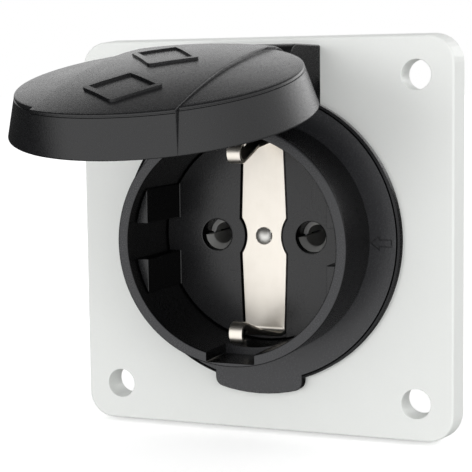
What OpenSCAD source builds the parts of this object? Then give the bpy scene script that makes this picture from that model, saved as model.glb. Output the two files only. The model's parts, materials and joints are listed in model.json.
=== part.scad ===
// Industrial panel socket with a hinged lid, for two round pins and side earth contacts.
// Millimetres, +Z up. The origin is the centre of the flange's rear face, which lies on the panel.
// The front looks along -Y. Heights (_h) are measured from the panel towards the front.

/* [Flange] */
// Side of the square flange
flange_w = 75; // [70:0.5:92]
// Thickness of the flange
flange_t = 5.7; // [5.5:0.1:8]
// Radius of the flange's corners
flange_corner_r = 5.4; // [4:0.2:7]
// Radius of the flange's front edge
flange_edge_r = 0.5; // [0.3:0.1:1.5]
// How much the flange's front face is smaller than its back, on each side
flange_draft = 0.5; // [0:0.1:0.8]
// Distance between the fixing holes, both ways
fixing_pitch = 60; // [59:0.5:61]
// Diameter of a fixing hole
fixing_d = 5.5; // [4.3:0.1:6.5]
// Thickness of the flange's front skin
flange_skin = 2.6; // [2.2:0.1:3]
// Thickness of the flange's outer wall and ribs
flange_wall = 2.2; // [1.6:0.1:2.6]

/* [Socket body] */
// Diameter of the plug recess
recess_d = 40; // [38:0.5:44]
// Depth of the plug recess, from the collar's rim to the floor
recess_depth = 17.4; // [15:0.1:20.8]
// How far the collar stands out from the flange
collar_proud = 16.2; // [14:0.1:18]
// Wall of the collar
collar_wall = 2; // [1.6:0.1:2.6]
// Width of the ring that the body shows round the collar
disc_lip = 5.6; // [5.2:0.1:7]
// Thickness of that ring
disc_t = 2.3; // [2.1:0.1:3]
// Width of the ring's bevelled edge
disc_bevel = 1; // [0.4:0.1:1.2]
// Width of the tab below the ring
tab_w = 17.5; // [12:0.5:20]
// How far the tab reaches below the ring
tab_drop = 2; // [1:0.1:3]
// Width of the drain notch in the collar's rim
notch_w = 9.4; // [6:0.2:12]
// Depth of the drain notch into the collar's wall
notch_deep = 1.3; // [0.6:0.1:1.4]
// How far the drain notch runs down from the rim
notch_run = 9.5; // [3:0.5:12]
// Wall of the barrel that passes through the panel
barrel_wall = 3.5; // [3.4:0.1:4]
// How far the barrel reaches behind the panel's front
barrel_back = 6; // [5:0.5:10]

/* [Hinge and lid] */
// How far the lid's rim lies outside the collar
lid_gap = 3; // [2.8:0.1:4]
// Height of the lid's skirt at its side segments
lid_skirt = 6.8; // [6.2:0.1:7.6]
// How far the skirt leans in over that height
lid_taper = 1.95; // [1:0.05:2]
// Rise of the crowned top above the skirt
lid_crown = 1.8; // [1.4:0.05:3]
// Wall of the lid
lid_wall = 1.3; // [1.1:0.1:1.5]
// Width of the raised band across the lid, and of the hinge block
band_w = 24; // [20:0.5:26]
// How far the band's middle stands above the side segments
band_step = 0.65; // [0.4:0.05:1]
// Outside radius of the hinge ears
ear_r = 4.65; // [4.2:0.05:5.5]
// Width of each hinge ear
ear_w = 4; // [3:0.1:5]
// Outside radius of the lid's knuckle
knuckle_r = 3.4; // [3:0.1:3.7]
// Diameter of the hinge pin
pin_d = 2.5; // [2:0.1:3]
// How far the lid stands open, from closed
lid_open = 77; // [0:1:105]

/* [Contacts] */
// Distance between the two pins of a plug
pin_pitch = 19; // [19:0.1:19.2]
// Diameter of a plug's pin
plug_pin_d = 4.8; // [4:0.1:4.8]
// Length of a plug's pin
plug_pin_len = 19; // [17:0.5:19.5]
// Diameter of a pin hole in the floor
pin_hole_d = 6; // [6:0.1:6.8]
// Depth of a contact sleeve's longer finger below the floor's face
contact_inset = 1.5; // [0.5:0.1:2.5]
// How much further in its shorter finger ends
finger_step = 2.8; // [0:0.1:3.2]
// Width of the earth strip next to its neck
strip_w = 9; // [7.6:0.1:9.4]
// Width of the earth strip at its ends
strip_end_w = 8; // [6:0.1:8.4]
// Thickness of the earth strip
strip_t = 0.7; // [0.5:0.1:1]
// How far the earth strip lies below the floor's face
strip_sink = 0.35; // [0:0.05:0.6]
// Width of an earth clip's tongue
clip_w = 2.6; // [2:0.1:4]
// How far an earth clip's tip stands above the floor
clip_h = 14.8; // [12:0.1:15.5]
// Side of a wire terminal
terminal_w = 9; // [7.5:0.1:9]
// Length of a wire terminal
terminal_len = 8.5; // [7.5:0.1:10]
// Diameter of a wire hole
wire_d = 4; // [3:0.1:4.2]

/* [Hidden] */

// Roundness of large turned forms, of the lid's wide crown, of small forms and of hulled corners
round_fn = 128;
crown_fn = 360;
small_fn = 48;
hull_fn = 32;
// Length that a cutter runs past a face, and clearances: sliding parts, close parts and hinge pin
past = 1;
slide_gap = 0.3;
close_gap = 0.15;
pin_gap = 0.05;
// Bite of a pressed or screwed joint, on the radius
press = 0.02;

// Heights of the main faces
front_h = flange_t;
disc_h = front_h + disc_t;
rim_h = front_h + collar_proud;
floor_h = rim_h - recess_depth;

// Radii of the body
recess_r = recess_d / 2;
collar_r = recess_r + collar_wall;
disc_r = collar_r + disc_lip;
barrel_r = recess_r + barrel_wall;
rim_edge = 0.4;
foot_edge = 0.3;
flange_hole_r = barrel_r + slide_gap;

// Flat seal between the body's ring and the flange: its middle radius, half width and thickness
seal_at = disc_r - 1.3;
seal_half = 0.5;
body_seal_t = 0.8;

// Bayonet: three lugs of the body lock behind a ledge in the flange
lug_count = 3;
lug_out = 1.8;
lug_angle = 24;
lug_turn = 40;
lug_h0 = 0.3;
lug_h1 = 2.2;
ledge_h = lug_h1 + 0.2;
lug_play = 2;

// Gasket ring behind the flange, and the ring wall that holds it
gasket_r0 = flange_hole_r + lug_out + 4;
gasket_r1 = gasket_r0 + 3.2;
gasket_t = 1.6;
boss_r = fixing_d / 2 + 2.4;
rib_t = 1.6;

// Lid
lid_r = collar_r + lid_gap;
lid_top_r = lid_r - lid_taper;
band_top_r = lid_r - 0.8;
band_skirt = lid_skirt + 0.1;
band_half = band_w / 2;
// Centre of the hinge pin above the lid's rim plane, and height of that plane when closed
hinge_over_rim = 0.65;
lid_rim_h = rim_h - 4.3;
hinge_h = lid_rim_h + hinge_over_rim;
hinge_z = lid_r + 6;
shoulder_z = hinge_z - ear_r - 0.45;
pin_r = pin_d / 2;
ear_in = band_half - ear_w;
knuckle_half = ear_in - slide_gap;
neck_top = 3;
neck_low = -0.45;
open_max = 105;
gasket_gap = 0.1;
// Sphere of the side segments' top
side_sphere_r = (lid_top_r * lid_top_r + lid_crown * lid_crown) / (2 * lid_crown);
side_apex = lid_skirt + lid_crown;
// Arc of the band's top, highest a little towards the hinge, and its crown across
band_apex = side_apex + band_step;
band_apex_z = 1.5;
band_reach = band_top_r + band_apex_z;
band_rise = band_apex - band_skirt;
band_arc_r = (band_reach * band_reach + band_rise * band_rise) / (2 * band_rise);
band_arc_at = [band_apex_z, band_apex - band_arc_r];
band_cross_r = 118;
// Arc that bends the band down to the shoulder: its radius, start and slope there, and its centre
band_bend_r = 20;
band_bend_z = shoulder_z - 7.3;
band_bend_slope = 9;
band_bend_h = band_arc_at[1] + sqrt(band_arc_r * band_arc_r - (band_bend_z - band_apex_z) ^ 2);
band_bend_at = [band_bend_z - band_bend_r * sin(band_bend_slope),
    band_bend_h - band_bend_r * cos(band_bend_slope)];

// The gasket inside the lid, which meets the collar's rim
lid_seal_r0 = recess_r - 0.3;
lid_seal_r1 = collar_r + 0.2;
lid_seal_h = rim_h + gasket_gap;

// Contact insert
insert_r = recess_r - close_gap;
floor_t = 3;
insert_skirt = 2.6;
shoulder_t = 2;
insert_back_h = -barrel_back - shoulder_t;
rib_x = recess_r - 2.7;
rib_z = 3.3;
rib_h = rim_h - 3;
pin_x = pin_pitch / 2;
channel_r = pin_hole_d / 2 + 1.6;
seal_w = 1.6;
seal_t = 1.1;
seal_h = -3;

// Contact sleeves, and the springs round them
plug_pin_r = plug_pin_d / 2;
sleeve_r = pin_hole_d / 2 - 0.05;
sleeve_h1 = floor_h - contact_inset;
short_h1 = sleeve_h1 - finger_step;
spring_h1 = short_h1 - 1.8;
sleeve_h0 = floor_h - plug_pin_len - 0.7;
foot_t = 1;
foot_w = terminal_w - 1;
spigot_r = 1.2;
spigot_len = 1.2;
spring_t = 0.45;
spring_w = 3;
slot_w = 0.9;

// Terminals, behind the sleeves and below them
terminal_h1 = sleeve_h0 - foot_t;
terminal_h0 = terminal_h1 - terminal_len;
earth_z = -10.5;
screw_h = terminal_h0 + terminal_len * 0.42;
wire_r = wire_d / 2;
wire_deep = terminal_len - spigot_len - 1;
screw_r = 1.3;
screw_head_r = 2.6;
screw_head_t = 1.8;
screw_len = 4.6;

// Carrier of the terminals: a round plate with a walled chamber for each terminal behind it
carrier_plate_t = 2;
carrier_plate_h = insert_back_h - carrier_plate_t;
carrier_wall = 1.5;
carrier_back_h = terminal_h0 - carrier_wall;
pocket_w = terminal_w + 2 * slide_gap;
chamber_w = pocket_w + 2 * carrier_wall;
window_w = terminal_w - 2;

// Screws that hold the carrier and the insert to the body, in the middle of the barrel's wall
fixing_screw_r = 1.1;
fixing_screw_at = (barrel_r + recess_r) / 2 + 0.1;
fixing_screw_turn = 45;
fixing_screw_bite = 7.5;
fixing_head_r = 2.4;
fixing_head_t = 1.7;

// Earth strip, in a pocket of the floor: its neck clears the pin holes, its bends stop short of the collar
strip_half = strip_w / 2;
strip_end_half = strip_end_w / 2;
neck_arc_r = pin_hole_d / 2 + 3.05;
neck_end = sqrt(neck_arc_r * neck_arc_r - (pin_x - strip_half) * (pin_x - strip_half));
strip_h = floor_h - strip_sink;
strip_back_h = strip_h - strip_t;
strip_flat = recess_r - 2.7;
// Clips: radius of the bend at the foot, height of the taper, lean of the arm and radius of the rolled tip
clip_bend_r = 1.3;
clip_taper_h = 5.2;
clip_lean = 18;
clip_roll_r = 1.65;
clip_roll_end = -10;
rivet_r = 1.75;
rivet_dome = 0.8;
rivet_shank_r = 1.2;
bar_half = 2.5;
bar_t = 0.8;

// Points of an arc round a centre, from angle a0 to a1
function arc(centre, r, a0, a1, steps) = [for (i = [0:steps])
    let (a = a0 + (a1 - a0) * i / steps) centre + r * [cos(a), sin(a)]];

// Turns a shape's flat outline to face the front, from height h0 to height h1
module upright(h0, h1)
    rotate([90, 0, 0]) translate([0, 0, h0]) linear_extrude(h1 - h0) children();

// Turns an outline of radius and height about the socket's axis
module turned()
    rotate([90, 0, 0]) rotate_extrude($fn = round_fn) children();

// Extrudes a side view of Z and height along X, from x0 to x1
module side_view(x0, x1)
    rotate([180, -90, 0]) translate([0, 0, x0]) linear_extrude(x1 - x0) children();

// A ring between two radii and two heights
module ring(r0, r1, h0, h1)
    turned() translate([r0, h0]) square([r1 - r0, h1 - h0]);

// A round rod along the socket's axis
module rod(r, h0, h1, fn = small_fn)
    upright(h0, h1) circle(r, $fn = fn);

// A wedge of a full turn, from its apex out to radius r, centred on an angle
module sector(r, angle, middle) {
    steps = 6;
    polygon(concat([[0, 0]], [for (i = [0:steps])
        let (a = middle - angle / 2 + angle * i / steps) [r * cos(a), r * sin(a)]]));
}

// Puts a copy on each of the four fixing holes
module at_fixings()
    for (x = [-1, 1], z = [-1, 1]) translate([x * fixing_pitch / 2, 0, z * fixing_pitch / 2]) children();

// Opens the lid about the hinge pin by an angle from closed
module opened(angle)
    translate([0, -hinge_h, hinge_z]) rotate([-angle, 0, 0]) translate([0, hinge_h, -hinge_z]) children();

// One corner of the flange, with its rounded front edge
module flange_corner() {
    e = flange_edge_r;
    steps = 5;
    rotate([90, 0, 0]) rotate_extrude($fn = hull_fn) polygon(concat([[0, 0], [flange_corner_r, 0]],
        [for (i = [0:steps]) let (a = 90 * i / steps)
            [flange_corner_r - flange_draft - e + e * cos(a), flange_t - e + e * sin(a)]],
        [[0, flange_t]]));
}

module flange_block() {
    at = flange_w / 2 - flange_corner_r;
    hull() for (x = [-at, at], z = [-at, at]) translate([x, 0, z]) flange_corner();
}

// The hollow behind the flange's skin, apart from its bosses, ribs and gasket ring
module flange_core() {
    in_w = flange_w - 2 * flange_wall;
    difference() {
        upright(-past, flange_t - flange_skin) square(in_w, center = true);
        ring(0, gasket_r1 + flange_wall, -2 * past, flange_t);
        at_fixings() rod(boss_r, -2 * past, flange_t);
        for (turn = [0, 90]) rotate([0, turn, 0])
            upright(-2 * past, flange_t) square([flange_w, rib_t], center = true);
        for (x = [-1, 1], z = [-1, 1])
            upright(-2 * past, flange_t) rotate(45 * x * z) translate([0, -rib_t / 2])
                square([x * flange_w, rib_t]);
    }
}

module flange() {
    color([0.86, 0.87, 0.86]) difference() {
        flange_block();
        flange_core();
        rod(flange_hole_r, -past, flange_t + past, round_fn);
        rod(flange_hole_r + lug_out, -past, ledge_h, round_fn);
        upright(-past, flange_t + past) bayonet_slots();
        ring(gasket_r0, gasket_r1, -past, gasket_t);
        at_fixings() rod(fixing_d / 2, -past, flange_t + past);
    }
}

// The ways through the flange's ledge that let the body's lugs in
module bayonet_slots()
    for (i = [0:lug_count - 1]) intersection() {
        circle(barrel_r + lug_out + slide_gap, $fn = round_fn);
        sector(2 * barrel_r, lug_angle + 2 * lug_play, 90 + lug_turn + 360 * i / lug_count);
    }

module flange_gasket()
    color([0.15, 0.15, 0.16]) ring(gasket_r0, gasket_r1, 0, gasket_t);

// Outline of the tab below the body's ring, in X and Z
module tab_outline() {
    half = tab_w / 2;
    low = disc_r + tab_drop;
    r = 2;
    intersection() {
        circle(low, $fn = round_fn);
        union() {
            translate([-half, -low + r]) square([tab_w, disc_r]);
            translate([-half + r, -low]) square([tab_w - 2 * r, disc_r]);
            for (x = [-1, 1]) translate([x * (half - r), -low + r + 0.6]) circle(r, $fn = small_fn);
        }
    }
}

// The ring that the body shows on the flange, its collar and its barrel, as one turned outline
module body_turning()
    turned() polygon(concat([[recess_r, -barrel_back], [barrel_r, -barrel_back], [barrel_r, front_h],
        [disc_r, front_h], [disc_r, disc_h - disc_bevel * 0.6], [disc_r - disc_bevel, disc_h],
        [collar_r + foot_edge, disc_h], [collar_r, disc_h + foot_edge]],
        arc([collar_r - rim_edge, rim_h - rim_edge], rim_edge, 0, 90, 3),
        arc([recess_r + rim_edge, rim_h - rim_edge], rim_edge, 90, 180, 3)));

module body_lugs()
    upright(lug_h0, lug_h1) intersection() {
        difference() {
            circle(barrel_r + lug_out - 0.05, $fn = round_fn);
            circle(barrel_r - 0.5, $fn = round_fn);
        }
        union() for (i = [0:lug_count - 1]) sector(2 * barrel_r, lug_angle, 90 + 360 * i / lug_count);
    }

// Side view of the hinge block, round about the pin and open below it for the lid's rim
module hinge_block_view() {
    low_z = disc_r - 3.1;
    union() {
        translate([hinge_z, hinge_h]) circle(ear_r, $fn = small_fn);
        polygon([[low_z, front_h], [hinge_z + ear_r, front_h], [hinge_z + ear_r, hinge_h],
            [hinge_z, hinge_h], [hinge_z - ear_r * cos(20), hinge_h - ear_r * sin(20)],
            [low_z + 1.2, lid_rim_h - 0.8], [low_z, lid_rim_h - 2]]);
    }
}

// What the lid's knuckle and neck sweep between the ears, from closed to the stop when fully open
module hinge_pocket_view() {
    reach = 3 * ear_r;
    low = neck_low - slide_gap;
    translate([hinge_z, hinge_h]) {
        circle(knuckle_r + slide_gap, $fn = small_fn);
        polygon(concat([[0, 0], [0, low], [-reach, low]], arc([0, 0], reach, 180, 180 - open_max, 8)));
        rotate(-open_max) translate([-reach, -past]) square([reach, past + neck_top + slide_gap]);
    }
}

module socket_body() {
    color([0.2, 0.2, 0.21]) difference() {
        union() {
            body_turning();
            body_lugs();
            upright(front_h, disc_h) intersection() {
                tab_outline();
                translate([-disc_r, -2 * disc_r]) square([2 * disc_r, disc_r * 2 - recess_r - 1]);
            }
            intersection() {
                side_view(-band_half, band_half) hinge_block_view();
                upright(0, 2 * rim_h) difference() {
                    translate([-disc_r, 0]) square([2 * disc_r, 2 * disc_r]);
                    circle(recess_r + collar_wall / 2, $fn = round_fn);
                }
            }
        }
        ring(seal_at - seal_half - close_gap, seal_at + seal_half + close_gap, front_h - past,
            front_h + body_seal_t);
        side_view(-ear_in, ear_in) hinge_pocket_view();
        side_view(-band_half - past, band_half + past) translate([hinge_z, hinge_h])
            circle(pin_r - press, $fn = small_fn);
        upright(rim_h - notch_run, rim_h + past) translate([-notch_w / 2, -recess_r - notch_deep])
            square([notch_w, 3]);
        at_insert_screws() rod(fixing_screw_r - press, -barrel_back - past, fixing_screw_bite - barrel_back);
    }
}

module body_seal()
    color([0.15, 0.15, 0.16]) ring(seal_at - seal_half, seal_at + seal_half, front_h, front_h + body_seal_t);

module at_insert_screws()
    for (turn = [fixing_screw_turn, fixing_screw_turn + 180])
        rotate([0, turn, 0]) translate([fixing_screw_at, 0, 0]) children();

// The ribs that guide a plug, left and right, above and below the middle
module guide_ribs()
    upright(floor_h - 0.5, rib_h) for (x = [-1, 1], z = [-1, 1]) intersection() {
        circle(insert_r, $fn = round_fn);
        translate([x > 0 ? rib_x : -recess_r, z > 0 ? rib_z : -recess_r])
            square([recess_r - rib_x, recess_r - rib_z]);
    }

module contact_insert() {
    skirt_in = insert_r - insert_skirt;
    color([0.2, 0.2, 0.21]) difference() {
        union() {
            rod(insert_r, floor_h - floor_t, floor_h, round_fn);
            ring(skirt_in, insert_r, insert_back_h, floor_h - 0.5);
            ring(skirt_in, barrel_r, insert_back_h, -barrel_back);
            guide_ribs();
            for (x = [-1, 1]) translate([x * pin_x, 0, 0]) rod(channel_r, insert_back_h, floor_h - 0.5);
        }
        for (x = [-1, 1]) translate([x * pin_x, 0, 0]) {
            rod(pin_hole_d / 2, insert_back_h - past, floor_h + past);
            rotate([90, 0, 0]) translate([0, 0, floor_h - 0.15])
                cylinder(h = 0.3, r1 = pin_hole_d / 2 - 0.05, r2 = pin_hole_d / 2 + 0.25, $fn = small_fn);
            rod(sleeve_r + spring_t + 0.2, insert_back_h - past, spring_h1 + 0.5);
        }
        rod(rivet_shank_r + 0.05, floor_h - floor_t - past, floor_h + past);
        upright(strip_back_h, floor_h + past) strip_pocket();
        ring(insert_r - seal_t, recess_r + past, seal_h, seal_h + seal_w);
        at_insert_screws() rod(fixing_screw_r + 0.2, insert_back_h - past, past - barrel_back);
    }
}

module insert_seal()
    color([0.15, 0.15, 0.16])
        ring(insert_r - seal_t + 0.05, recess_r - 0.02, seal_h + 0.1, seal_h + seal_w - 0.1);

// Puts a copy on each terminal, turned so that its screw side looks outwards along +X
module at_terminals() {
    translate([pin_x, 0, 0]) children();
    translate([-pin_x, 0, 0]) rotate([0, 180, 0]) children();
    translate([0, 0, earth_z]) rotate([0, 90, 0]) children();
}

module terminal_carrier() {
    head_way = 2 * (screw_head_r + slide_gap);
    color([0.28, 0.28, 0.3]) difference() {
        union() {
            rod(barrel_r, carrier_plate_h, insert_back_h, round_fn);
            at_terminals() upright(carrier_back_h, carrier_plate_h + past) square(chamber_w, center = true);
        }
        at_terminals() {
            upright(terminal_h0, insert_back_h + past) square(pocket_w, center = true);
            upright(carrier_back_h - past, terminal_h0 + past) square(window_w, center = true);
            upright(carrier_back_h - past, screw_h + head_way / 2) translate([0, -head_way / 2])
                square([chamber_w, head_way]);
        }
        at_insert_screws() rod(fixing_screw_r + 0.2, carrier_plate_h - past, insert_back_h + past);
    }
}

// The earth strip's outline in X and Z, grown by a gap, and necked between the pin holes
module strip_outline(gap = 0) {
    wide = strip_half + gap;
    end = strip_end_half + gap;
    difference() {
        polygon([[wide, neck_end], [end, strip_flat], [-end, strip_flat], [-wide, neck_end],
            [-wide, -neck_end], [-end, -strip_flat], [end, -strip_flat], [wide, -neck_end]]);
        for (x = [-pin_x, pin_x]) translate([x, 0]) circle(neck_arc_r - gap, $fn = small_fn);
    }
}

// The strip's pocket in the floor, open at both ends to the collar
module strip_pocket() {
    end = strip_end_half + slide_gap;
    strip_outline(slide_gap);
    for (turn = [0, 180]) rotate(turn) translate([-end, strip_flat - 0.1]) square([2 * end, recess_r]);
}

// Centre line of an earth clip, in Z and height: foot bend, leaning arm and rolled tip
function clip_path() = let (
        foot = [strip_flat, strip_h - strip_t / 2 + clip_bend_r],
        arm = foot + clip_bend_r * [cos(clip_lean), sin(clip_lean)],
        roll_h = floor_h + clip_h - strip_t / 2 - clip_roll_r,
        arm_len = (roll_h - clip_roll_r * sin(clip_lean) - arm[1]) / cos(clip_lean),
        roll = arm + arm_len * [-sin(clip_lean), cos(clip_lean)]
            + clip_roll_r * [cos(clip_lean), sin(clip_lean)])
    concat([[strip_flat - past, strip_h - strip_t / 2]], arc(foot, clip_bend_r, -90, clip_lean, 6),
        arc(roll, clip_roll_r, 180 + clip_lean, clip_roll_end, 10));

// Direction of a path at a point, and the point moved square to it
function path_dir(p, i) = let (a = p[max(i - 1, 0)], b = p[min(i + 1, len(p) - 1)]) (b - a) / norm(b - a);
function aside(p, i, d) = let (t = path_dir(p, i)) [p[i][0] - t[1] * d, p[i][1] + t[0] * d];

module earth_clip() {
    path = clip_path();
    last = len(path) - 1;
    intersection() {
        side_view(-strip_half, strip_half) polygon(concat(
            [for (i = [0:last]) aside(path, i, strip_t / 2)],
            [for (i = [last:-1:0]) aside(path, i, -strip_t / 2)]));
        rotate([180, 0, 0]) linear_extrude(4 * recess_r, center = true) clip_front_view();
    }
}

// The clip seen from above, X and height: full width at its foot, then a narrow tongue
module clip_front_view() {
    taper_top = strip_h + clip_taper_h;
    polygon([[-strip_end_half, 0], [strip_end_half, 0], [strip_end_half, strip_h], [clip_w / 2, taper_top],
        [clip_w / 2, 2 * rim_h], [-clip_w / 2, 2 * rim_h], [-clip_w / 2, taper_top],
        [-strip_end_half, strip_h]]);
}

module earth_strip() {
    color([0.85, 0.83, 0.78]) difference() {
        union() {
            upright(strip_back_h, strip_h) strip_outline();
            earth_clip();
            rotate([0, 180, 0]) earth_clip();
        }
        rod(rivet_shank_r + 0.05, strip_back_h - past, rim_h);
    }
}

module earth_rivet() {
    dome_r = (rivet_r * rivet_r + rivet_dome * rivet_dome) / (2 * rivet_dome);
    bar_h = floor_h - floor_t - bar_t;
    color([0.8, 0.79, 0.76]) {
        intersection() {
            translate([0, dome_r - rivet_dome - strip_h, 0]) sphere(dome_r, $fn = small_fn);
            rod(rivet_r, strip_h, strip_h + 2);
        }
        rod(rivet_shank_r, bar_h - 0.6, strip_h + 0.1);
        rod(rivet_r, bar_h - 0.6, bar_h);
    }
}

module earth_bar() {
    top = floor_h - floor_t;
    leg_z = earth_z - foot_w / 2 + 1;
    color([0.75, 0.6, 0.3]) difference() {
        union() {
            side_view(-bar_half, bar_half) polygon([[bar_half, top], [leg_z - bar_t, top],
                [leg_z - bar_t, terminal_h1], [earth_z + foot_w / 2, terminal_h1],
                [earth_z + foot_w / 2, terminal_h1 + foot_t], [leg_z, terminal_h1 + foot_t],
                [leg_z, top - bar_t], [bar_half, top - bar_t]]);
            translate([0, 0, earth_z]) rod(spigot_r, terminal_h1 - spigot_len, terminal_h1 + foot_t / 2);
        }
        rod(rivet_shank_r + 0.05, top - bar_t - past, top + past);
    }
}

// A contact: a slotted sleeve with a long and a short finger, a foot on the terminal and a spigot into it
module contact() {
    color([0.82, 0.74, 0.5]) {
        difference() {
            rod(sleeve_r, sleeve_h0 + 0.7, sleeve_h1);
            rod(plug_pin_r, sleeve_h0 + 0.7 - past, sleeve_h1 + past);
            upright(sleeve_h0 + 6, sleeve_h1 + past) square([4 * sleeve_r, slot_w], center = true);
            upright(short_h1, sleeve_h1 + past) translate([-2 * sleeve_r, 0])
                square([4 * sleeve_r, 2 * sleeve_r]);
        }
        rod(sleeve_r, terminal_h1 + foot_t / 2, sleeve_h0 + 0.7);
        upright(terminal_h1, terminal_h1 + foot_t) square(foot_w, center = true);
        rod(spigot_r, terminal_h1 - spigot_len, terminal_h1 + foot_t / 2);
    }
}

module left_contact()
    translate([-pin_x, 0, 0]) contact();

module right_contact()
    translate([pin_x, 0, 0]) contact();

// Steel springs that close the sleeves on the pins
module contact_springs() {
    at = spring_h1;
    color([0.6, 0.61, 0.63]) for (x = [-pin_x, pin_x]) translate([x, 0, 0]) difference() {
        rod(sleeve_r + 0.02 + spring_t, at - spring_w, at);
        rod(sleeve_r + 0.02, at - spring_w - past, at + past);
        upright(at - spring_w - past, at + past) translate([-slot_w, 0]) square([2 * slot_w, 2 * sleeve_r]);
    }
}

// A terminal block: a wire hole from behind, a screw hole from outside and a seat for the spigot
module terminal() {
    color([0.78, 0.68, 0.42]) difference() {
        upright(terminal_h0, terminal_h1) square(terminal_w, center = true);
        rod(wire_r, terminal_h0 - past, terminal_h0 + wire_deep);
        rod(spigot_r + 0.05, terminal_h1 - spigot_len - 0.1, terminal_h1 + past);
        translate([0, -screw_h, 0]) rotate([0, 90, 0])
            cylinder(h = terminal_w, r = screw_r + press, $fn = small_fn);
    }
}

module right_terminal()
    translate([pin_x, 0, 0]) terminal();

module left_terminal()
    translate([-pin_x, 0, 0]) rotate([0, 180, 0]) terminal();

module earth_terminal()
    translate([0, 0, earth_z]) rotate([0, 90, 0]) terminal();

// The terminals' screws, backed off so that the wire holes are free
module terminal_screws() {
    tip = wire_r + 0.15;
    head = tip + screw_len;
    color([0.7, 0.71, 0.72]) at_terminals() translate([0, -screw_h, 0]) rotate([0, 90, 0]) difference() {
        union() {
            translate([0, 0, tip]) cylinder(h = screw_len + 0.1, r = screw_r, $fn = small_fn);
            translate([0, 0, head]) cylinder(h = screw_head_t, r = screw_head_r, $fn = small_fn);
        }
        translate([-0.4, -screw_head_r - past, head + 0.8]) cube([0.8, 2 * (screw_head_r + past), past + 1]);
        translate([-screw_head_r * 0.6, -0.4, head + 0.8]) cube([screw_head_r * 1.2, 0.8, past + 1]);
    }
}

// Screws from behind through the carrier and the insert into the barrel
module insert_screws() {
    color([0.7, 0.71, 0.72]) at_insert_screws() difference() {
        union() {
            rod(fixing_screw_r, carrier_plate_h - 0.1, fixing_screw_bite - barrel_back - 0.5);
            rod(fixing_head_r, carrier_plate_h - fixing_head_t, carrier_plate_h);
        }
        upright(carrier_plate_h - fixing_head_t - past, carrier_plate_h - fixing_head_t + 0.8) {
            square([0.7, 2.8], center = true);
            square([2.8, 0.7], center = true);
        }
    }
}

module hinge_pin()
    color([0.7, 0.71, 0.72]) side_view(-band_half + 0.5, band_half) translate([hinge_z, hinge_h])
        circle(pin_r, $fn = small_fn);

// Solid under the crowned sphere of a given radius and apex, above the lid's rim plane
module under_sphere(r, apex)
    translate([0, r - apex - lid_rim_h, 0]) sphere(r, $fn = crown_fn);

// A cone frustum on the lid's axis, whose side leans in by a taper over a height
module frustum(r, taper, taper_h, h)
    rotate([90, 0, 0]) translate([0, 0, lid_rim_h])
        cylinder(h = h, r1 = r, r2 = r - taper * h / taper_h, $fn = round_fn);

// A stretch of the band that follows an arc in Z and height and is crowned across
module band_arc(r, at, turn0, turn1, deep)
    translate([0, -(lid_rim_h + at[1]), at[0]]) rotate([0, 90, 0]) rotate([0, 0, 270 - turn1])
        rotate_extrude(angle = turn1 - turn0, $fn = crown_fn) intersection() {
            translate([r - band_cross_r, 0]) circle(band_cross_r, $fn = crown_fn);
            translate([r - deep, -band_half]) square([2 * deep, band_w]);
        }

// The raised band: within the skirt's cone at the front, straight to the shoulder towards the hinge
module band_solid()
    intersection() {
        band_arc(band_arc_r, band_arc_at, -14, 12, 2 * band_apex);
        union() {
            intersection() {
                frustum(lid_r + 0.02, lid_r - band_top_r, band_skirt, 2 * band_apex);
                upright(0, 2 * rim_h) translate([-band_half, -2 * lid_r]) square([band_w, 2 * lid_r + past]);
            }
            intersection() {
                side_view(-band_half, band_half) translate([0, lid_rim_h])
                    square([shoulder_z, 2 * band_apex]);
                union() {
                    side_view(-band_w, band_w) translate([-past, lid_rim_h - past])
                        square([band_bend_z + past - 0.3, 3 * band_apex]);
                    band_arc(band_bend_r, band_bend_at, 0, 80, band_bend_r - 0.5);
                }
            }
        }
    }

module lid_solid() {
    intersection() {
        frustum(lid_r, lid_taper, lid_skirt, lid_skirt + 4);
        under_sphere(side_sphere_r, side_apex);
    }
    band_solid();
    side_view(-knuckle_half, knuckle_half) knuckle_view();
}

// Side view of the neck and knuckle
module knuckle_view()
    translate([hinge_z, hinge_h]) {
        circle(knuckle_r, $fn = small_fn);
        polygon([[0, neck_low], [shoulder_z - hinge_z - 2, neck_low], [shoulder_z - hinge_z - 2, neck_top],
            [0, neck_top]]);
    }

// The space inside the lid, which starts below the rim
module lid_hollow() {
    wall = lid_wall + 0.1;
    intersection() {
        rotate([90, 0, 0]) translate([0, 0, lid_rim_h - past]) cylinder(h = lid_skirt + past,
            r1 = lid_r - wall, r2 = lid_top_r - lid_wall + 0.5, $fn = round_fn);
        under_sphere(side_sphere_r - lid_wall, side_apex - lid_wall);
    }
}

module lid_closed()
    difference() {
        union() {
            difference() {
                lid_solid();
                lid_hollow();
            }
            lid_seal_rib();
        }
        side_view(-knuckle_half - past, knuckle_half + past) translate([hinge_z, hinge_h])
            circle(pin_r + pin_gap, $fn = small_fn);
    }

// Height of the hollow's roof at a radius
function roof_h(r) = let (inner_r = side_sphere_r - lid_wall)
    lid_rim_h + side_apex - side_sphere_r + sqrt(inner_r * inner_r - r * r);

// Inner rib that keeps the lid's gasket in place
module lid_seal_rib()
    turned() polygon([[lid_seal_r0 - 0.95, lid_seal_h + 0.3], [lid_seal_r0 - 0.05, lid_seal_h + 0.3],
        [lid_seal_r0 - 0.05, roof_h(lid_seal_r0) + 0.4], [lid_seal_r0 - 0.95, roof_h(lid_seal_r0) + 0.4]]);

module lid()
    color([0.22, 0.22, 0.23]) opened(lid_open) lid_closed();

module lid_gasket()
    color([0.12, 0.12, 0.13]) opened(lid_open) turned()
        polygon([[lid_seal_r0, lid_seal_h], [lid_seal_r1, lid_seal_h],
            [lid_seal_r1, roof_h(lid_seal_r1) - 0.03], [lid_seal_r0, roof_h(lid_seal_r0) - 0.03]]);

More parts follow.
